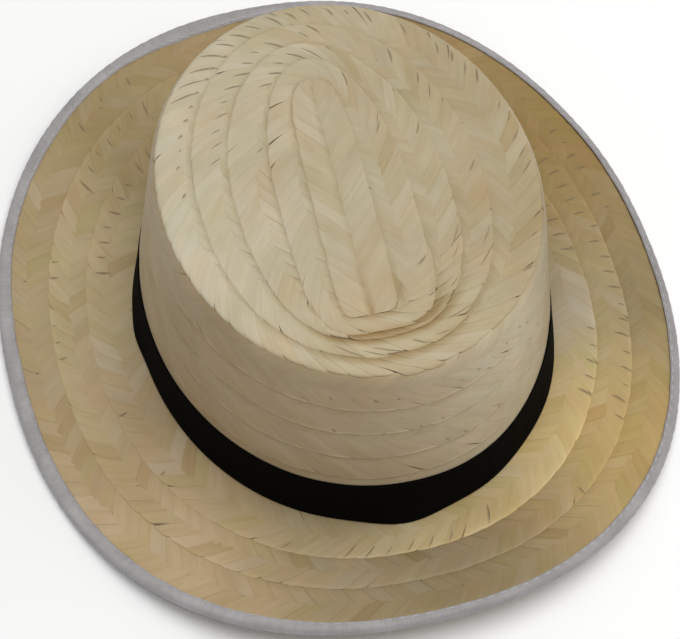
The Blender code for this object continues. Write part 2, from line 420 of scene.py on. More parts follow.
# Slits as shares of a blade, stains with painted shade and gaps in metres, and the painted shade of the deep
# column and round a gap
LEAST_SLIT, SLIT_RUN, DEEP_PAINTED_SHADE, GAP_RIM_PAINTED_SHADE = 0.16, 0.34, 0.985, 0.93
EDGE_STAIN_AND_SHADE, SEAM_STAIN_AND_SHADE, GAP_PLAY, GAP_LIFT = 0.0016, 0.0024, 0.0006, 0.0001


def drawing(rng, count):
    """A function that draws one random number for each blade of a column."""
    return lambda least, most: rng.uniform(least, most, count)[:, None, None]


def paced(turn, plait):
    """How many blades go round a turn, and the pitch that fits them in."""
    count = max(8, int(round(turn.length / plait["pitch"])))
    return count, turn.length / count


def seam_strength(plait, bearing):
    """How clearly the seams show: 1, and less on the side where the turns lie flush."""
    return 1 - plait["quiet"] * bulge(bearing, plait["quiet_side"], SIDE_SPREAD)


def rise(turn, plait, depth, exposed, strength):
    """Height of a turn over the sheet, from its free edge in to where the turn above covers it."""
    across = np.clip(depth / np.maximum(exposed, LEAST_SHOWING), 0, 1)
    step = turn.step * (0.5 + 0.5 * strength)
    return step * (1 - across) + plait["swell"] * np.sin(math.pi * across) + BLADE_LIFT


def blade_tints(rng, points, plait, deep, depth, exposed, lean, strength):
    """Colours of a column's blades, with a painted highlight by the free edge, a painted shadow at the seam,
    stains with painted shade, and tones over the hat that are partly painted light and shade.
    """
    draw = drawing(rng, len(points))
    free = 0.0 if deep else 1.0
    main = main_leaf(plait)
    contrast = 1 + plait["right_contrast"] * np.clip(points[..., :1] / (CROWN_WIDTH / 2) + 0.2, 0, 1)
    tint = main + (leaf_tints(rng, len(points), plait)[:, None, None, :] - main) * contrast
    # Painted shade: the deep column is a little darker, as if its blades caught less light
    tint = tint * (DEEP_PAINTED_SHADE if deep else 1.0)
    # The long sides of each blade darken, partly dirt and partly painted shade where blades overlap
    shade = 1 - plait["side_dirt_and_shade"] * np.clip((np.abs(lean) - 0.36) / 0.14, 0, 1) ** 2
    # Painted highlight on a line by the free edge, where a turn's edge catches the light
    edge_highlight_mask = free * np.clip(1 - np.abs(depth - plait["edge_at"]) / plait["edge_width"], 0, 1)
    shade = shade * (1 + plait["edge_highlight"] * edge_highlight_mask * strength * draw(0.2, 1.0))
    # Painted shadow where a turn runs under the one above it
    seam_shadow_mask = np.clip(1 - (exposed - depth) / plait["seam_width"], 0, 1)
    seam_shadow_mask = seam_shadow_mask * plait["seam_shadow_strength"] * draw(0.5, 1.0) * strength
    # Stains and painted shade in the creases by the free edge and by the seam, in the front patch
    edge_stain_and_shade = free * np.clip(1 - depth / EDGE_STAIN_AND_SHADE, 0, 1) ** 0.6 * draw(0.3, 1.0)
    seam_stain_and_shade = np.clip(1 - (exposed - depth) / SEAM_STAIN_AND_SHADE, 0, 1) ** 0.6 * draw(0.4, 1.0)
    stain_and_shade = np.maximum(edge_stain_and_shade, seam_stain_and_shade) * (front_patch(points) * plait["crowding"])
    tint = tint * shade[..., None] * aged_and_painted_light(points, plait["ageing_and_painted_light"])
    return tint * (1 - seam_shadow_mask[..., None] * SEAM_PAINTED_SHADOW) * (1 - stain_and_shade[..., None] * STAIN_AND_SHADE)


def lay_column(piece, rng, turn, deep, plait, face=1, fine=True, mirror=False):
    """Lays one slanting column of blades: the outer one, or the deep one that runs under the turn above."""
    count, pitch = paced(turn, plait)
    spare = 3 if isinstance(turn, Strip) else 0
    spot = (np.arange(-spare, count + spare) + (0.5 if deep else 0.0))[:, None, None] * pitch
    bearing = turn.facing(spot)
    apex = turn.apex + plait["swelling"] * bulge(bearing, plait["swelling_side"], SIDE_SPREAD)
    handed = plait["handed"] * face
    over = handed if deep else -handed
    side = (FINE_SIDES if fine else COARSE_SIDES)[None, None, :] * over
    rows = (FINE_ROWS if fine else COARSE_ROWS)[None, :, None]
    lie = math.tan(math.radians(plait["slant"]))
    exposed = turn.exposed(spot)
    if deep:
        end = exposed + 0 * side
        for share in np.arange(1, 9) / 4:
            beside = spot + side * pitch + handed * lie * (exposed - apex) * share
            end = np.maximum(end, turn.exposed(beside))
        low, high = apex - COLUMNS_PASS, end + turn.lap
    else:
        low, high = 0 * apex, np.minimum(apex + COLUMNS_PASS, exposed + turn.lap) + 0 * side
    there = (high - low).max(axis=(1, 2)) > SHORTEST_BLADE
    if not there.any():
        return
    spot, low, high, exposed, apex, bearing = (
        values[there] for values in (spot, low, high, exposed, apex, bearing))
    high = np.maximum(high, low + SHORTEST_ROW)
    draw = drawing(rng, len(spot))

    free = 0.0 if deep else 1.0
    crowded = bulge(bearing, CROWDED_AT, CROWDED_SPREAD) * plait["crowding"]
    ragged = plait["ragged"] + CROWDED_RAGGED * crowded
    edge = draw(-1, 1) * ragged + plait["notch"] * np.abs(2 * side) ** 5
    depth = low + (high - low) * rows + free * (edge + plait["ragged"]) * (1 - rows) ** 6
    slant = lie * draw(0.92, 1.08)
    slit_at = np.where(draw(0, 1) < (0.5 if deep else plait["edge_slits"]), 0.0, 1.0)
    slit = np.where(draw(0, 1) < plait["slits"], draw(LEAST_SLIT, plait["slit"]), 0.0)
    narrowing = slit * np.clip(1 - np.abs(rows - slit_at) / SLIT_RUN, 0, 1)
    lean = side * over
    side = side - over * narrowing * np.clip(lean + 0.1, 0, 1)
    from_point = (depth - apex) if deep else (apex - depth)
    along = (spot + draw(-0.04, 0.04) * pitch + handed * slant * from_point
             + side * plait["breadth"] * pitch)
    bow = (1 - (2 * rows - 1) ** 2) * plait["bow"] * draw(0.6, 1.4)
    fold = np.where(lean > FOLDED_FROM, plait["relief"] * 1.5, 0)
    edge_drop = fold + plait["round"] * np.abs(2 * lean) ** 6
    strength = seam_strength(plait, bearing)
    height = (rise(turn, plait, depth, exposed, strength) + draw(-1, 1) * plait["unevenness"]
              + plait["relief"] * draw(0.5, 1.3) * (lean + 0.5) + bow - edge_drop)
    tuck = np.clip((EDGE_TUCK + edge - depth) / EDGE_TUCK, 0, 1) * free
    height = height - tuck ** 2 * (turn.step + TUCK_DEPTH)
    points = turn.lay(along, depth, height, face)
    tint = blade_tints(rng, points, plait, deep, depth, exposed, lean, strength)
    grain = np.stack(np.broadcast_arrays(depth * 1.6, lean * pitch * 0.6, draw(0, 40)), -1)
    flip = (face < 0) ^ (over > 0) ^ mirror
    keep = turn.kept(along) if isinstance(turn, Strip) else None
    piece.grid(points, tint, grain, flip=flip, keep=keep)


def lay_gaps(piece, rng, turn, plait, gaps):
    """Lays small pieces of painted shadow where gaps show between blades of the outer column."""
    count, pitch = paced(turn, plait)
    over = -plait["handed"]
    run = np.linspace(0, 1, 7)[None, :, None]
    across = np.array([-1, -0.55, 0, 0.55, 1])[None, None, :]
    dark = np.clip(1 - np.abs(across) ** 1.5, 0, 1) * np.sin(math.pi * (0.05 + 0.9 * run)) ** 0.6
    for row in gaps:
        spot = np.arange(count) * pitch
        chance = row["share"] * bulge(turn.facing(spot), row["bearing"], row["spread"])
        spot = spot[rng.uniform(0, 1, count) < chance][:, None, None]
        if not len(spot):
            continue
        draw = drawing(rng, len(spot))
        size = draw(0.5, 1.4)
        exposed = turn.exposed(spot)
        start = exposed - row["depth"] if row["from_seam"] else row["depth"]
        start = start + draw(-GAP_PLAY, GAP_PLAY)
        depth = start + row["length"] * size * run
        wide = row["width"] * size * np.sin(math.pi * (0.08 + 0.84 * run)) ** 0.8
        lie = math.tan(math.radians(row["slant"])) * draw(0.9, 1.1)
        along = (spot + plait["handed"] * lie * (turn.apex - depth)
                 + over * (0.5 * plait["breadth"] * pitch + wide * (0.3 + 0.5 * across)))
        strength = seam_strength(plait, turn.facing(spot))
        height = rise(turn, plait, depth, exposed, strength) + plait["relief"] * 0.5 + plait["bow"]
        points = turn.lay(along, depth, height + GAP_LIFT + 0 * across, 1)
        # Painted shade on the leaf round each gap, and painted shadow in its middle
        leaf = main_leaf(plait) * aged_and_painted_light(points, plait["ageing_and_painted_light"]) * GAP_RIM_PAINTED_SHADE
        tint = leaf * (1 - dark[..., None]) + GAP_PAINTED_SHADOW * dark[..., None]
        piece.grid(points, tint, np.zeros(3), flip=over > 0)


# Leaf colours, as linear light, with how often each is drawn
TIP_LEAF = (((0.460, 0.400, 0.278), 7), ((0.442, 0.377, 0.252), 4),
            ((0.470, 0.419, 0.305), 4), ((0.423, 0.345, 0.212), 0.8))
WALL_LEAF = (((0.455, 0.375, 0.255), 6), ((0.440, 0.355, 0.235), 4),
             ((0.470, 0.400, 0.285), 3), ((0.410, 0.320, 0.200), 0.8))
BRIM_LEAF = (((0.430, 0.338, 0.192), 5), ((0.445, 0.350, 0.210), 4), ((0.415, 0.338, 0.175), 2),
             ((0.450, 0.370, 0.240), 2), ((0.385, 0.288, 0.150), 0.8))
# Colours of the shell, painted as leaf in shade, and of the painted shadow in a gap, then what the painted
# shadow at seams and the stains with painted shade take of red, green and blue
SHELL_PAINTED_SHADE = np.array([0.27, 0.19, 0.10])
GAP_PAINTED_SHADOW = np.array([0.185, 0.140, 0.085])
SEAM_PAINTED_SHADOW = np.array([0.22, 0.26, 0.38])
STAIN_AND_SHADE = np.array([0.37, 0.54, 0.77])
EVEN = (0.0, 0.0, 0.0)

# How each part is plaited, in metres, degrees and shares. Blades lie a pitch apart, slant off straight
# across and are breadth pitches wide; each rises by relief, arches by bow, drops at its sides by round
# and varies by unevenness. Free edges vary by ragged and dip by notch. slits of the blades narrow by up
# to slit at one end, edge_slits of the outer ones at the free edge. Turns arch by swell. handed is 1
# where the chevrons point back along the turn; their points lie deeper by swelling round swelling_side.
# side values darken the sides of blades, partly with dirt and partly with painted shade, edge values paint a
# highlight along a line by the free edge and seam values paint a shadow at the seam; these two go quiet round
# quiet_side. crowding adds stains and painted shade in the creases of the front patch. variety and
# right_contrast set how far leaf colours differ. The ageing values are how much lighter red, green and blue
# turn to the right, in the front patch and on sides, each with a bearing and a spread; they are partly the
# leaf's own colour changing with age and partly painted light and shade
TIP_PLAIT = {
    "pitch": 0.0078, "slant": 50, "breadth": 1.12, "relief": 0.00009, "bow": 0.00008, "round": 0.00003,
    "unevenness": 0.00003, "handed": 1, "ragged": 0.00018, "notch": 0.0003,
    "slits": 0.30, "slit": 0.34, "edge_slits": 0.4,
    "swell": 0.00020, "swelling": 0.0028, "swelling_side": 135,
    "side_dirt_and_shade": 0.035, "edge_highlight": 0.05, "edge_width": 0.0030, "edge_at": 0.0,
    "seam_shadow_strength": 0.8, "seam_width": 0.0016, "quiet": 0.75, "quiet_side": 5, "crowding": 1.0,
    "leaf": TIP_LEAF, "variety": 0.8, "right_contrast": 0.5,
    "ageing_and_painted_light": {"right": (-0.28, -0.38, -0.56), "front_patch": (0.04, 0.0, -0.06), "sides": ()},
}
STRIP_PLAIT = {**TIP_PLAIT, "slits": 0.0, "breadth": 1.32}
INNER_PLAIT = {**TIP_PLAIT, "slits": 0.0}
RIM_PLAIT = {**TIP_PLAIT, "slits": 0.5, "edge_slits": 0.75, "notch": 0.0006, "swelling_side": 90}
OUTER_PLAIT = {**TIP_PLAIT, "swelling": 0.0, "crowding": 0.0, "right_contrast": 0.0}
WALL_PLAIT = {
    **OUTER_PLAIT, "slant": 53, "pitch": 0.0080, "relief": 0.00007, "slits": 0.12, "slit": 0.22,
    "ragged": 0.0004, "side_dirt_and_shade": 0.02, "edge_highlight": 0.45, "edge_width": 0.0007, "edge_at": 0.0009,
    "seam_shadow_strength": 0.5, "quiet": 0.0, "leaf": WALL_LEAF, "variety": 0.5,
    # On the wall the tones by bearing are painted light and shade: darker to the front left and to the right,
    # lighter towards the front right
    "ageing_and_painted_light": {"right": EVEN, "front_patch": EVEN, "sides": (
        (215, 40, -0.14, -0.19, -0.26), (275, 30, 0.03, 0.01, 0.0),
        (298, 20, 0.153, 0.228, 0.315), (336, 20, -0.26, -0.27, -0.32))},
}
FOOT_PLAIT = {**WALL_PLAIT, "relief": 0.00005, "bow": 0.00003, "unevenness": 0.0, "slits": 0.0}
BRIM_PLAIT = {
    **OUTER_PLAIT, "slant": 42, "relief": 0.00012, "slits": 0.45, "slit": 0.38, "edge_slits": 0.75,
    "handed": -1, "notch": 0.0004, "edge_highlight": 0.14, "edge_width": 0.0012, "edge_at": 0.0007,
    "seam_shadow_strength": 0.45, "quiet": 0.7, "quiet_side": 180, "leaf": BRIM_LEAF, "variety": 1.0,
    "ageing_and_painted_light": {"right": EVEN, "front_patch": EVEN, "sides": (
        (30, 34, -0.32, -0.41, -0.61), (80, 26, -0.26, -0.33, -0.45), (122, 20, -0.22, -0.24, -0.34),
        (160, 28, 0.18, 0.22, 0.26), (222, 26, 0.14, 0.10, 0.15), (345, 22, -0.08, -0.06, -0.04),
        (318, 22, 0.15, 0.05, -0.22), (250, 11, -0.08, -0.06, -0.03), (275, 24, -0.30, -0.28, -0.22))},
}

TIP_STEP, WALL_STEP, BRIM_STEP = 0.00035, 0.0005, 0.0005
TIP_APEX, WALL_APEX, OUTER_LAP, INNER_LAP = 0.0094, 0.0112, 0.0015, 0.0012


def wall_reach(height):
    """Reach of a height over the seat on the crown's wall."""
    return TIP_REACH + EDGE_ARC + WALL_REACH * (1 - height / WALL_TOP)


RIM_SEAM = TIP_REACH + EDGE_ARC * 0.45
WALL_SEAMS = [wall_reach(height) for height in (0.0660, 0.0525, 0.0385, 0.0260, 0.0130)]
BRIM_SEAMS = [0.0, 0.0182, 0.0327, BRIM_REACH + 0.0012]


def turn_row(near, far, apex, step, plait):
    """One outer turn: its reaches, how deep its chevrons' points lie and its step over the turn below."""
    return {"near": near, "far": far, "apex": apex, "step": step, "plait": plait}


def brim_plait(*sides, **changes):
    """The brim's plait with a turn's own changes of colour by bearing, and other changes."""
    ageing_and_painted_light = {**BRIM_PLAIT["ageing_and_painted_light"], "sides": BRIM_PLAIT["ageing_and_painted_light"]["sides"] + sides}
    return {**BRIM_PLAIT, "ageing_and_painted_light": ageing_and_painted_light, **changes}


CROWN_TURNS = [
    *(turn_row(near, far, TIP_APEX, TIP_STEP, TIP_PLAIT)
      for near, far in zip(TIP_STARTS[:3], TIP_STARTS[1:4])),
    turn_row(TIP_STARTS[3], RIM_SEAM, WALL_APEX, TIP_STEP, RIM_PLAIT),
    *(turn_row(near, far, WALL_APEX, WALL_STEP, WALL_PLAIT)
      for near, far in zip([RIM_SEAM] + WALL_SEAMS[:3], WALL_SEAMS[:4])),
    turn_row(WALL_SEAMS[3], WALL_SEAMS[4], 0.0095, 0.0, FOOT_PLAIT),
]
BRIM_TURNS = [
    turn_row(BRIM_SEAMS[0], BRIM_SEAMS[1], 0.0100, BRIM_STEP, brim_plait(
        (288, 28, 0.32, 0.34, 0.27), (340, 20, 0.0, 0.08, 0.32),
        (160, 25, 0.06, 0.05, 0.06), (272, 16, 0.17, 0.15, 0.08))),
    turn_row(BRIM_SEAMS[1], BRIM_SEAMS[2], 0.0088, BRIM_STEP, brim_plait(
        (272, 32, -0.09, -0.11, -0.18), (340, 20, -0.06, -0.03, 0.02))),
    turn_row(BRIM_SEAMS[2], BRIM_SEAMS[3], 0.0095, 0.0, brim_plait(
        (272, 32, -0.12, -0.14, -0.22), (343, 24, -0.23, -0.22, -0.24),
        (165, 30, -0.17, -0.22, -0.25), slits=0.25, edge_slits=0.0)),
]


def gap(bearing, spread, share, depth, length, width=0.0009, from_seam=False, slant=50):
    """One run of gaps round a bearing in degrees; the share of blades, and where each gap starts."""
    return {"bearing": bearing, "spread": spread, "share": share, "depth": depth, "length": length,
            "width": width, "from_seam": from_seam, "slant": slant}


# Gaps seen in the photograph, for each turn of the crown and of the brim
CROWN_GAPS = {
    0: [gap(265, 30, 0.5, 0.0010, 0.0030), gap(20, 50, 0.35, 0.0020, 0.0030)],
    1: [gap(105, 16, 1.0, 0.0050, 0.0045, from_seam=True), gap(20, 45, 0.4, 0.0015, 0.0030),
        gap(150, 30, 0.35, 0.0045, 0.0030, from_seam=True), gap(268, 24, 0.6, 0.0010, 0.0030, slant=70)],
    2: [gap(128, 36, 1.3, 0.0058, 0.0052, from_seam=True), gap(10, 50, 0.5, 0.0012, 0.0032),
        gap(258, 24, 0.8, 0.0008, 0.0026, slant=72)],
    3: [gap(152, 26, 1.2, 0.0090, 0.0014, 0.0012), gap(106, 22, 1.5, 0.0024, 0.0068, 0.0010),
        gap(60, 26, 1.0, 0.0030, 0.0036), gap(5, 34, 0.9, 0.0022, 0.0032), gap(320, 20, 0.5, 0.0015, 0.0025)],
    4: [gap(285, 40, 0.5, 0.0060, 0.0008, 0.0010), gap(320, 30, 0.6, 0.0014, 0.0008, 0.0010)],
    5: [gap(300, 40, 0.6, 0.0014, 0.0009, 0.0010)],
    6: [gap(300, 40, 0.5, 0.0014, 0.0009, 0.0010)],
}
BRIM_GAPS = {
    0: [gap(332, 11, 1.2, 0.0008, 0.0042, slant=14), gap(268, 15, 1.2, 0.0006, 0.0060, slant=32),
        gap(144, 13, 1.3, 0.0042, 0.0046, slant=-12), gap(118, 12, 1.2, 0.0030, 0.0060, slant=20),
        gap(24, 18, 1.1, 0.0010, 0.0048, slant=14), gap(190, 20, 0.12, 0.0010, 0.0030, slant=0)],
    1: [gap(341, 20, 1.4, 0.0008, 0.0046, slant=14), gap(164, 12, 0.9, 0.0010, 0.0038, slant=-8),
        gap(122, 14, 1.3, 0.0030, 0.0060, slant=20), gap(20, 18, 1.1, 0.0030, 0.0050, slant=14),
        gap(215, 25, 0.12, 0.0010, 0.0030)],
    2: [gap(14, 16, 0.9, 0.0075, 0.0040, slant=14), gap(120, 12, 0.8, 0.0070, 0.0050, slant=20)],
}


def straw_shell(piece, sheet, stops, closed):
    """Thin straw shell under the blades, coloured as leaf in painted shade; stops are rows of reach and
    height over the sheet.
    """
    sunk = 0.00018
    way = np.linspace(0, TURN, 361)[:-1]
    top = [raised(sheet, reach + 0 * way, way, step - sunk + 0 * way) for reach, step in stops]
    under = [raised(sheet, reach + 0 * way, way, -sunk + 0 * way, face=-1) for reach, step in stops]
    piece.grid(np.stack(top + under[::-1])[None], SHELL_PAINTED_SHADE, np.zeros(3), wrap=True, closed=closed)


def shell_stops(turns, first, last):
    """Rows of the shell: each turn rises towards its free edge and steps down to the turn below."""
    start, shoulder, drop = 0.0002, 0.0010, 0.0006
    stops = [(first, 0.0)]
    for turn in turns:
        near, far, step = turn["near"], turn["far"], turn["step"]
        stops += [(near + start, 0.0), ((near + far) / 2, step / 2),
                  (far - shoulder, step * 0.95), (far - drop, 0.0)]
    stops.append((last, 0.0))
    return stops


def lay_turns(piece, rng, sheet, turns, gaps):
    """Lays the turns of an outer face; each laps over the one that lies further out or down."""
    for number, row in enumerate(turns):
        turn = Turn(sheet, row["far"], row["near"], OUTER_LAP, row["apex"], row["step"])
        for deep in (True, False):
            lay_column(piece, rng, turn, deep, row["plait"])
        lay_gaps(piece, rng, turn, row["plait"], gaps.get(number, []))


def lay_inner_turns(piece, rng, sheet, seams, plait):
    """Lays the turns of an inner face, which lap the other way."""
    for near, far in zip(seams[:-1], seams[1:]):
        turn = Turn(sheet, near, far, INNER_LAP, TIP_APEX, TIP_STEP)
        for deep in (True, False):
            lay_column(piece, rng, turn, deep, plait, face=-1, fine=False)


def make_crown(material):
    """Tip and wall of the crown: the strip, the turns round it and the shell under them."""
    rng = np.random.default_rng(11)
    piece = Piece()
    foot = TIP_REACH + EDGE_ARC + WALL_REACH - 0.0006
    half_strip = TIP_EDGES[0]["half_width"]
    strip = {"near": -half_strip, "far": 0.0, "step": TIP_STEP}
    stops = shell_stops([strip] + CROWN_TURNS[:-1], -half_strip, foot)
    straw_shell(piece, crown_sheet, stops, closed=False)
    for side in (-1, 1):
        for face in (1, -1):
            lay_column(piece, rng, Strip(side, TIP_STEP), False, STRIP_PLAIT, face, face > 0, mirror=side < 0)
    lay_turns(piece, rng, crown_sheet, CROWN_TURNS, CROWN_GAPS)
    lay_inner_turns(piece, rng, crown_sheet, TIP_STARTS + WALL_SEAMS + [foot], INNER_PLAIT)
    return piece.finish("crown_plait", material, "crown", "crown_straw")


def make_brim(material):
    """Turns of the brim on both faces and the shell between them."""
    rng = np.random.default_rng(23)
    piece = Piece()
    opening = -SEAT_MARGIN - STRAW_THICKNESS
    last = BRIM_REACH + BINDING_WIDTH - 0.0002
    straw_shell(piece, brim_sheet, shell_stops(BRIM_TURNS, opening, last), closed=True)
    lay_turns(piece, rng, brim_sheet, BRIM_TURNS, BRIM_GAPS)
    under = [opening + 0.0012] + BRIM_SEAMS[1:3] + [BRIM_REACH + 0.0012]
    lay_inner_turns(piece, rng, brim_sheet, under, {**INNER_PLAIT, "handed": -1, "leaf": BRIM_LEAF})
    return piece.finish("brim_plait", material, "brim", "brim_straw")


# Ribbon and edge strip

RIBBON_WIDTH, RIBBON_LENGTH, RIBBON_THICKNESS = 0.0236, 0.590, 0.0005
TAPE_WIDTH, TAPE_LENGTH, TAPE_THICKNESS = 0.0100, 0.925, 0.0005
TAPE_EDGE_TINT = np.array([0.93, 0.86, 0.74])

# Bearing and spread in degrees, then metres or tone: where the ribbon stands off the straw and where its
# upper edge dips, how far the strip reaches in on top of the brim, and where it is darker
RIBBON_FLARES = ((171, 10, 0.0010), (178, 5, 0.0010), (269, 10, 0.0035), (292, 14, 0.0016),
                 (322, 16, 0.0017))
RIBBON_DIPS = ((200, 30, -0.0006), (296, 20, -0.0024))
TAPE_REACHES = ((100, 14, 0.0034), (132, 16, 0.0012), (186, 34, 0.0019), (240, 20, 0.0004),
                (12, 30, -0.0010), (280, 22, -0.0004))
TAPE_SHADES = ((350, 55, -0.16), (100, 30, -0.06), (270, 30, -0.10))


def tape_wander(way):
    """How much further in than its usual place the strip's inner edge runs on top of the brim."""
    return bulges(way, TAPE_REACHES) + 0.00030 * waves(way, 10, (5, 11, 23, 47))


def tape_bed(inset, way):
    """Points on the straw's upper face at a distance in from its edge."""
    edge = np.stack(np.broadcast_arrays(*brim_edge(inset, way)), -1)
    deeper = brim_sheet(BRIM_REACH + BINDING_WIDTH + FIT_GAP - inset, way)
    return np.where((inset > BINDING_WIDTH + FIT_GAP)[..., None], deeper, edge)


def make_band(material):
    """Ribbon wrapped round the foot of the crown, rippled where it is slack."""
    piece = Piece()
    way = np.linspace(0, TURN, 1201)[:-1]
    lowest, off_straw, edge_thickness, dip = 0.0005, 0.00045, 0.00008, 0.0013
    shares = (0.0, 0.015, 0.04, 0.12, 0.25, 0.4, 0.55, 0.7, 0.85, 0.95, 0.985, 1.0)
    section = [(share, 1.0) for share in shares] + [(share, 0.0) for share in shares[::-1]]
    slack = 0.00022 * waves(way, 5, (7, 12, 19)) + 0.0001 * waves(way, 6, (41, 67))
    flare = bulges(way, RIBBON_FLARES)
    upper = bulges(way, RIBBON_DIPS, 0.00025 * waves(way, 8, (3, 5, 9, 17)) - dip)
    rows = []
    for share, out in section:
        height = lowest + share * (RIBBON_WIDTH - lowest) + upper * share + 0.3 * flare * (1 - share) ** 2
        lean = WALL_LEAN * np.clip(height - WALL_FOOT, 0, None) / (CROWN_HEIGHT - WALL_FOOT)
        selvedge = edge_thickness * (1 if 0.03 < share < 0.97 else -1)
        proud = (off_straw + (RIBBON_THICKNESS + selvedge) * out
                 + np.clip(slack, -0.0001, 1) * 4 * share * (1 - share) + flare * (1 - share) ** 2)
        x, y = oval(CROWN_WIDTH / 2 - lean + proud, CROWN_LENGTH / 2 - lean + proud, CROWN_FULLNESS, way)
        rows.append(np.stack([x, y, height], -1) + SEAT)
    heights = np.array([share * RIBBON_WIDTH for share, out in section])[:, None]
    run = np.linspace(0, RIBBON_LENGTH, len(way))[None, :]
    grain = np.stack(np.broadcast_arrays(run, heights, 0.0), -1)
    piece.grid(np.stack(rows)[None], np.full(3, 0.010), grain[None], wrap=True, closed=True)
    band = piece.finish("ribbon_band", material, "hat_band", "black_ribbon")


def make_binding(material, thread):
    """Thin satin strip folded over the edge of the brim and held by a row of stitches."""
    piece = Piece()
    way = np.linspace(0, TURN, 1601)[:-1]
    inner = STRAW_THICKNESS / 2 + 0.0007
    pucker = 0.00005 * np.sin(185 * way) + 0.00009 * waves(way, 9, (61, 97, 143))
    wander = tape_wander(way)
    fold = np.linspace(0.5, -0.5, 9) * math.pi
    # Across the strip from its inner edge on top, round the edge of the brim and under it, as out and up
    path = [(-BINDING_WIDTH, inner - 0.0004), (-BINDING_WIDTH + 0.0003, inner - 0.0001),
            (-BINDING_WIDTH + 0.0009, inner), (-BINDING_WIDTH * 0.35, inner)]
    path += [(inner * math.cos(turn), inner * math.sin(turn)) for turn in fold]
    path += [(-BINDING_WIDTH * 0.5, -inner), (-BINDING_WIDTH, -inner)]
    path = np.array(path)
    run = np.concatenate([[0], np.cumsum(np.linalg.norm(np.diff(path, axis=0), axis=1))])
    tangent = np.gradient(path, axis=0)
    side = np.stack([-tangent[:, 1], tangent[:, 0]], 1)
    side /= np.linalg.norm(side, axis=1, keepdims=True)
    layers = [(path[i], side[i], run[i], 1.0) for i in range(len(path))]
    layers += [(path[i], side[i], run[i], 0.0) for i in range(len(path) - 1, -1, -1)]
    rows, grain, tint = [], [], []
    length = np.linspace(0, TAPE_LENGTH, len(way))
    for (out, up), (side_out, side_up), across, outer in layers:
        top = np.clip(-out / BINDING_WIDTH, 0, 1) * (up > 0)
        thin = 0.35 if top > 0.99 else 1.0
        proud = TAPE_THICKNESS * outer * thin + pucker * (0.4 + 0.6 * (up > -0.0005))
        place = tape_bed(-(out + side_out * proud - wander * top), way)
        place[..., 2] += up + side_up * proud - STRAW_THICKNESS / 2
        rows.append(place)
        grain.append(np.stack([length, across + 0 * length, 0 * length], -1))
        tint.append(TAPE_EDGE_TINT if top > 0.99 else np.ones(3))
    darker = bulges(way, TAPE_SHADES, 1.0)
    tint = np.array(tint)[None, :, None, :] * darker[:, None]
    piece.grid(np.stack(rows)[None], tint, np.stack(grain)[None], wrap=True, closed=True)
    strip = piece.finish("edge_strip", material, "brim_binding", "edge_binding")
    stitches = make_stitches(thread, inner + TAPE_THICKNESS)


def make_stitches(material, lift):
    """Row of thread stitches along the inner edge of the edge strip."""
    rng = np.random.default_rng(31)
    piece = Piece()
    count, inset = 186, BINDING_WIDTH - 0.0008
    length, half_thickness, lift_off, edge_radius = 0.0031, 0.00032, 0.00004, 0.147
    spot = (np.arange(count) + rng.uniform(-0.12, 0.12, count)) / count * TURN
    along = np.linspace(-0.5, 0.5, 7)[None, :, None] * length
    round_way = np.linspace(0, TURN, 7)[:-1][None, None, :]
    thick = half_thickness * np.sqrt(np.clip(1 - (along / 0.00165) ** 2, 0.02, 1))
    slope = rng.uniform(-0.14, 0.14, count)[:, None, None]
    way = spot[:, None, None] + along / edge_radius
    across = slope * along + thick * np.cos(round_way)
    points = tape_bed(inset + tape_wander(way) - across, way)
    points[..., 2] += thick * np.sin(round_way) * 0.7 + lift - STRAW_THICKNESS / 2 + lift_off
    piece.grid(points, np.array([0.5, 0.49, 0.5]), np.zeros(3), wrap=True, flip=True)
    return piece.finish("edge_stitches", material, None, "edge_binding")


# Finishes


class Number:
    """A number or colour that varies over a surface; plain sums on it add their own nodes."""

    def __init__(self, finish, socket):
        self.finish, self.socket = finish, socket

    def sum(self, operation, other):
        return self.finish.node("ShaderNodeMath", {"operation": operation}, {0: self, 1: other})

    def __add__(self, other):
        return self.sum("ADD", other)

    def __mul__(self, other):
        return self.sum("MULTIPLY", other)


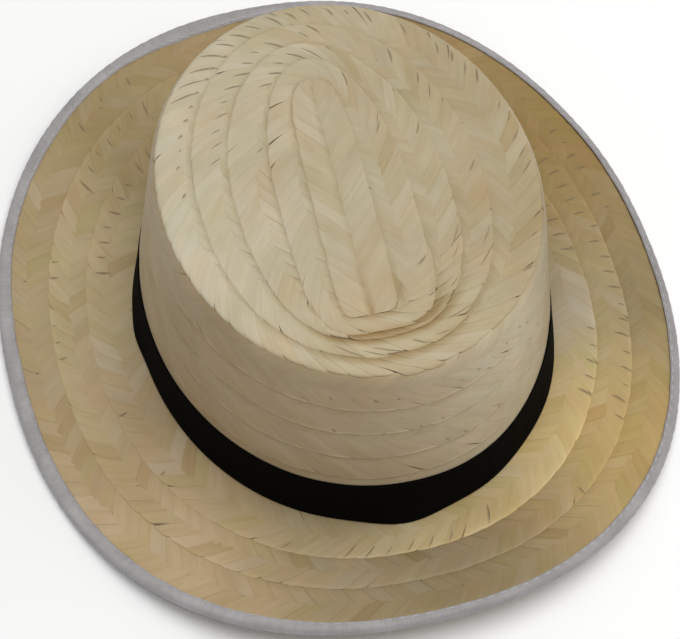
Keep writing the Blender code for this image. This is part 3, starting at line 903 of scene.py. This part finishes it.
class Finish:
    """A material whose nodes are added one call at a time."""

    def __init__(self, name, shine):
        self.material = bpy.data.materials.new(name)
        self.material.use_nodes = True
        self.tree = self.material.node_tree
        self.shader = self.tree.nodes["Principled BSDF"]
        self.shader.inputs["Specular IOR Level"].default_value = shine

    def node(self, kind, settings=None, sockets=None, output=0):
        """Adds a node, sets it, fills its sockets and gives one of its outputs."""
        node = self.tree.nodes.new(kind)
        for key, value in (settings or {}).items():
            if key == "stops":
                ramp = node.color_ramp.elements
                while len(ramp) < len(value):
                    ramp.new(0.5)
                for stop, (position, colour) in zip(ramp, value):
                    stop.position, stop.color = position, (*colour, 1)
            else:
                setattr(node, key, value)
        for key, value in (sockets or {}).items():
            self.fill(node.inputs[key], value)
        return Number(self, node.outputs[output])

    def fill(self, socket, value):
        if isinstance(value, Number):
            self.tree.links.new(value.socket, socket)
        else:
            socket.default_value = value

    def attribute(self, name, output):
        return self.node("ShaderNodeAttribute", {"attribute_name": name, "attribute_type": "GEOMETRY"},
                         output=output)

    def place(self):
        """The point itself, in metres."""
        return self.node("ShaderNodeTexCoord", output=3)

    def noise(self, vector, scale, detail, roughness=0.5):
        return self.node("ShaderNodeTexNoise", {}, {"Vector": vector, "Scale": scale, "Detail": detail,
                                                    "Roughness": roughness})

    def fibres(self, vector, stretch, detail, roughness=0.5):
        """Noise drawn out by a scale of its own along and across the leaf or cloth."""
        spread = self.node("ShaderNodeVectorMath", {"operation": "MULTIPLY"}, {0: vector, 1: stretch})
        return self.noise(spread, 1.0, detail, roughness)

    def ribs(self, vector, scale, distortion, detail):
        """Fine bands across the length of a ribbon."""
        return self.node("ShaderNodeTexWave", {"wave_type": "BANDS", "bands_direction": "X"},
                         {"Vector": vector, "Scale": scale, "Distortion": distortion, "Detail": detail})

    def between(self, amount, low, high):
        """Spreads a 0 to 1 number over low to high."""
        return amount * (high - low) + low

    def ramp(self, amount, stops):
        return self.node("ShaderNodeValToRGB", {"stops": stops}, {0: amount})

    def shades(self, amount, low, high):
        """Two colours by a number, with the change between them in its middle."""
        return self.ramp(amount, [(0.3, low), (0.7, high)])

    def tinted(self, colour, other):
        return self.node("ShaderNodeMix", {"data_type": "RGBA", "blend_type": "MULTIPLY"},
                         {0: 1.0, 6: colour, 7: other}, output=2)

    def bump(self, height, distance, strength):
        return self.node("ShaderNodeBump", {}, {"Height": height, "Distance": distance,
                                                "Strength": strength})

    def wear(self, **sockets):
        """Joins values to the shader and gives the finished material."""
        for name, value in sockets.items():
            self.fill(self.shader.inputs[name.replace("_", " ")], value)
        return self.material


def straw_finish(name, cool, warm):
    """Leaf with fine fibres along each blade, soiled patches and patches of a cool and a warm cast."""
    finish = Finish(name, shine=0.30)
    grain, place = finish.attribute("grain", 1), finish.place()
    fibre = finish.fibres(grain, (60, 1700, 1), 3.0, 0.6)
    streak = finish.fibres(grain, (40, 420, 1), 2.0)
    patch = finish.noise(place, 30.0, 3.0, 0.55)
    cast = finish.noise(place, 46.0, 2.0, 0.6)
    colour = finish.attribute("tint", 0)
    for layer in (finish.ramp(fibre, [(0.25, (0.955, 0.945, 0.93)), (0.75, (1.03, 1.03, 1.02))]),
                  finish.ramp(streak, [(0.25, (0.94, 0.92, 0.88)), (0.7, (1.03, 1.03, 1.03))]),
                  finish.ramp(patch, [(0.3, (0.93, 0.90, 0.84)), (0.65, (1.03, 1.03, 1.03))]),
                  finish.ramp(cast, [(0.36, cool), (0.5, (1.0, 1.0, 1.0)), (0.64, warm)])):
        colour = finish.tinted(colour, layer)
    relief = fibre * 0.4 + streak * 0.6
    return finish.wear(Base_Color=colour, Roughness=finish.between(fibre, 0.45, 0.68),
                       Normal=finish.bump(relief, 0.0004, 0.35))


def ribbon_finish():
    """Matte black ribbon with fine ribs across it."""
    finish = Finish("black_ribbon", shine=0.04)
    grain = finish.attribute("grain", 1)
    rib = finish.ribs(grain, 180.0, 0.4, 1.0)
    thread = finish.fibres(grain, (900, 900, 1), 2.0)
    colour = finish.shades(thread, (0.0022, 0.0018, 0.0014), (0.0042, 0.0036, 0.0030))
    return finish.wear(Base_Color=colour, Roughness=finish.between(thread, 0.80, 0.95),
                       Normal=finish.bump(rib * 0.6 + thread * 0.4, 0.0003, 0.4))


def binding_finish():
    """Pale grey satin with a faint weave and paler and darker stretches."""
    finish = Finish("lavender_grey_satin", shine=0.40)
    grain = finish.attribute("grain", 1)
    thread = finish.fibres(grain, (1400, 300, 1), 2.0)
    weave = finish.ribs(grain, 320.0, 1.2, 2.0)
    patch = finish.fibres(grain, (60, 260, 1), 2.0)
    colour = finish.shades(patch, (0.312, 0.294, 0.294), (0.402, 0.383, 0.389))
    colour = finish.tinted(colour, finish.attribute("tint", 0))
    colour = finish.tinted(colour, finish.shades(thread, (0.93, 0.93, 0.93), (1.05, 1.05, 1.05)))
    return finish.wear(Base_Color=colour, Roughness=finish.between(thread, 0.38, 0.58),
                       Normal=finish.bump(thread * 0.5 + weave * 0.5, 0.0002, 0.5))


def thread_finish():
    """Pale sewing thread."""
    finish = Finish("pale_thread", shine=0.35)
    twist = finish.noise(finish.place(), 2600.0, 2.0)
    colour = finish.shades(twist, (0.36, 0.35, 0.36), (0.46, 0.445, 0.46))
    return finish.wear(Base_Color=colour, Roughness=finish.between(twist, 0.45, 0.65),
                       Normal=finish.bump(twist, 0.0001, 0.4))


def floor_finish():
    """Pale, nearly even floor."""
    finish = Finish("pale_floor", shine=0.2)
    fleck = finish.noise(finish.place(), 6.0, 3.0)
    colour = finish.shades(fleck, (0.965, 0.965, 0.965), (0.98, 0.98, 0.98))
    return finish.wear(Base_Color=colour, Roughness=finish.between(fleck, 0.7, 0.8))


# Studio


def make_floor():
    """Square floor just under the hat."""
    half, gap_under = 2.5, 0.0002
    corners = [(-half, -half, 0), (half, -half, 0), (half, half, 0), (-half, half, 0)]
    mesh = bpy.data.meshes.new("floor")
    mesh.from_pydata(corners, [], [(0, 1, 2, 3)])
    mesh.materials.append(floor_finish())
    floor = bpy.data.objects.new("floor", mesh)
    bpy.context.scene.collection.objects.link(floor)
    floor.location.z = -gap_under


def towards(azimuth, elevation):
    """Direction out from the hat, by degrees round from the front to the right and degrees up."""
    turned, climb = math.radians(azimuth), math.radians(elevation)
    return Vector((math.sin(turned) * math.cos(climb), -math.cos(turned) * math.cos(climb),
                   math.sin(climb)))


def make_light(name, azimuth, elevation, away, size, power, colour):
    """Soft square light in a direction in degrees and at a distance in metres, aimed at the crown."""
    lamp = bpy.data.lights.new(name, "AREA")
    lamp.shape, lamp.size, lamp.energy, lamp.color = "SQUARE", size, power, colour
    light = bpy.data.objects.new(name, lamp)
    bpy.context.scene.collection.objects.link(light)
    way = towards(azimuth, elevation)
    light.location = Vector((0, 0, 0.04)) + way * away
    light.rotation_euler = (-way).to_track_quat("-Z", "Y").to_euler()


def make_studio():
    """Floor, two lights and the pale surroundings."""
    make_floor()
    make_light("overhead_light", 80, 80, 1.5, 1.5, 17.5, (1.0, 0.99, 0.97))
    make_light("side_light", 85, 28, 1.5, 1.0, 3.0, (1.0, 0.985, 0.96))
    world = bpy.data.worlds.new("studio")
    bpy.context.scene.world = world
    world.use_nodes = True
    surroundings = world.node_tree.nodes["Background"]
    surroundings.inputs[0].default_value = (0.97, 0.985, 1.0, 1)
    surroundings.inputs[1].default_value = 0.42
    bpy.context.scene.view_settings.view_transform = "Standard"


# Where the photograph was taken from: angles in degrees, distance in metres, lens in picture widths,
# and how far the seat of the crown falls from the middle of the picture in pixels
PICTURE_WIDTH, PICTURE_HEIGHT, SENSOR_WIDTH = 680, 639, 36
CAMERA = {"azimuth": -16.69, "elevation": 55.93, "roll": 2.33, "distance": 0.8419,
          "lens": 2042.9 / PICTURE_WIDTH, "centre_x": 342.2 - PICTURE_WIDTH / 2,
          "centre_y": 303.6 - PICTURE_HEIGHT / 2}


def make_camera():
    """Camera turned so that the seat of the crown falls where it does in the photograph."""
    data = bpy.data.cameras.new("camera")
    data.sensor_width = SENSOR_WIDTH
    data.lens = CAMERA["lens"] * SENSOR_WIDTH
    data.clip_start, data.clip_end = 0.05, 20
    camera = bpy.data.objects.new("camera", data)
    bpy.context.scene.collection.objects.link(camera)
    back, roll = towards(CAMERA["azimuth"], CAMERA["elevation"]), math.radians(CAMERA["roll"])
    right = (-back).cross(Vector((0, 0, 1))).normalized()
    up = right.cross(-back)
    turned_right = right * math.cos(roll) + up * math.sin(roll)
    turned_up = up * math.cos(roll) - right * math.sin(roll)
    basis = Matrix((turned_right, turned_up, back)).transposed()
    lens = CAMERA["lens"] * PICTURE_WIDTH
    swing = Matrix.Rotation(math.atan(CAMERA["centre_x"] / lens), 3, "Y")
    nod = Matrix.Rotation(math.atan(CAMERA["centre_y"] / lens), 3, "X")
    camera.matrix_world = (Matrix.Translation(Vector(SEAT) + back * CAMERA["distance"])
                           @ (basis @ swing @ nod).to_4x4())
    bpy.context.scene.camera = camera


make_camera()
make_studio()
make_crown(straw_finish("pale_leaf", (0.97, 0.985, 0.95), (1.03, 0.99, 0.96)))
make_brim(straw_finish("tan_leaf", (0.985, 0.988, 0.92), (1.03, 0.99, 0.975)))
make_band(ribbon_finish())
make_binding(binding_finish(), thread_finish())
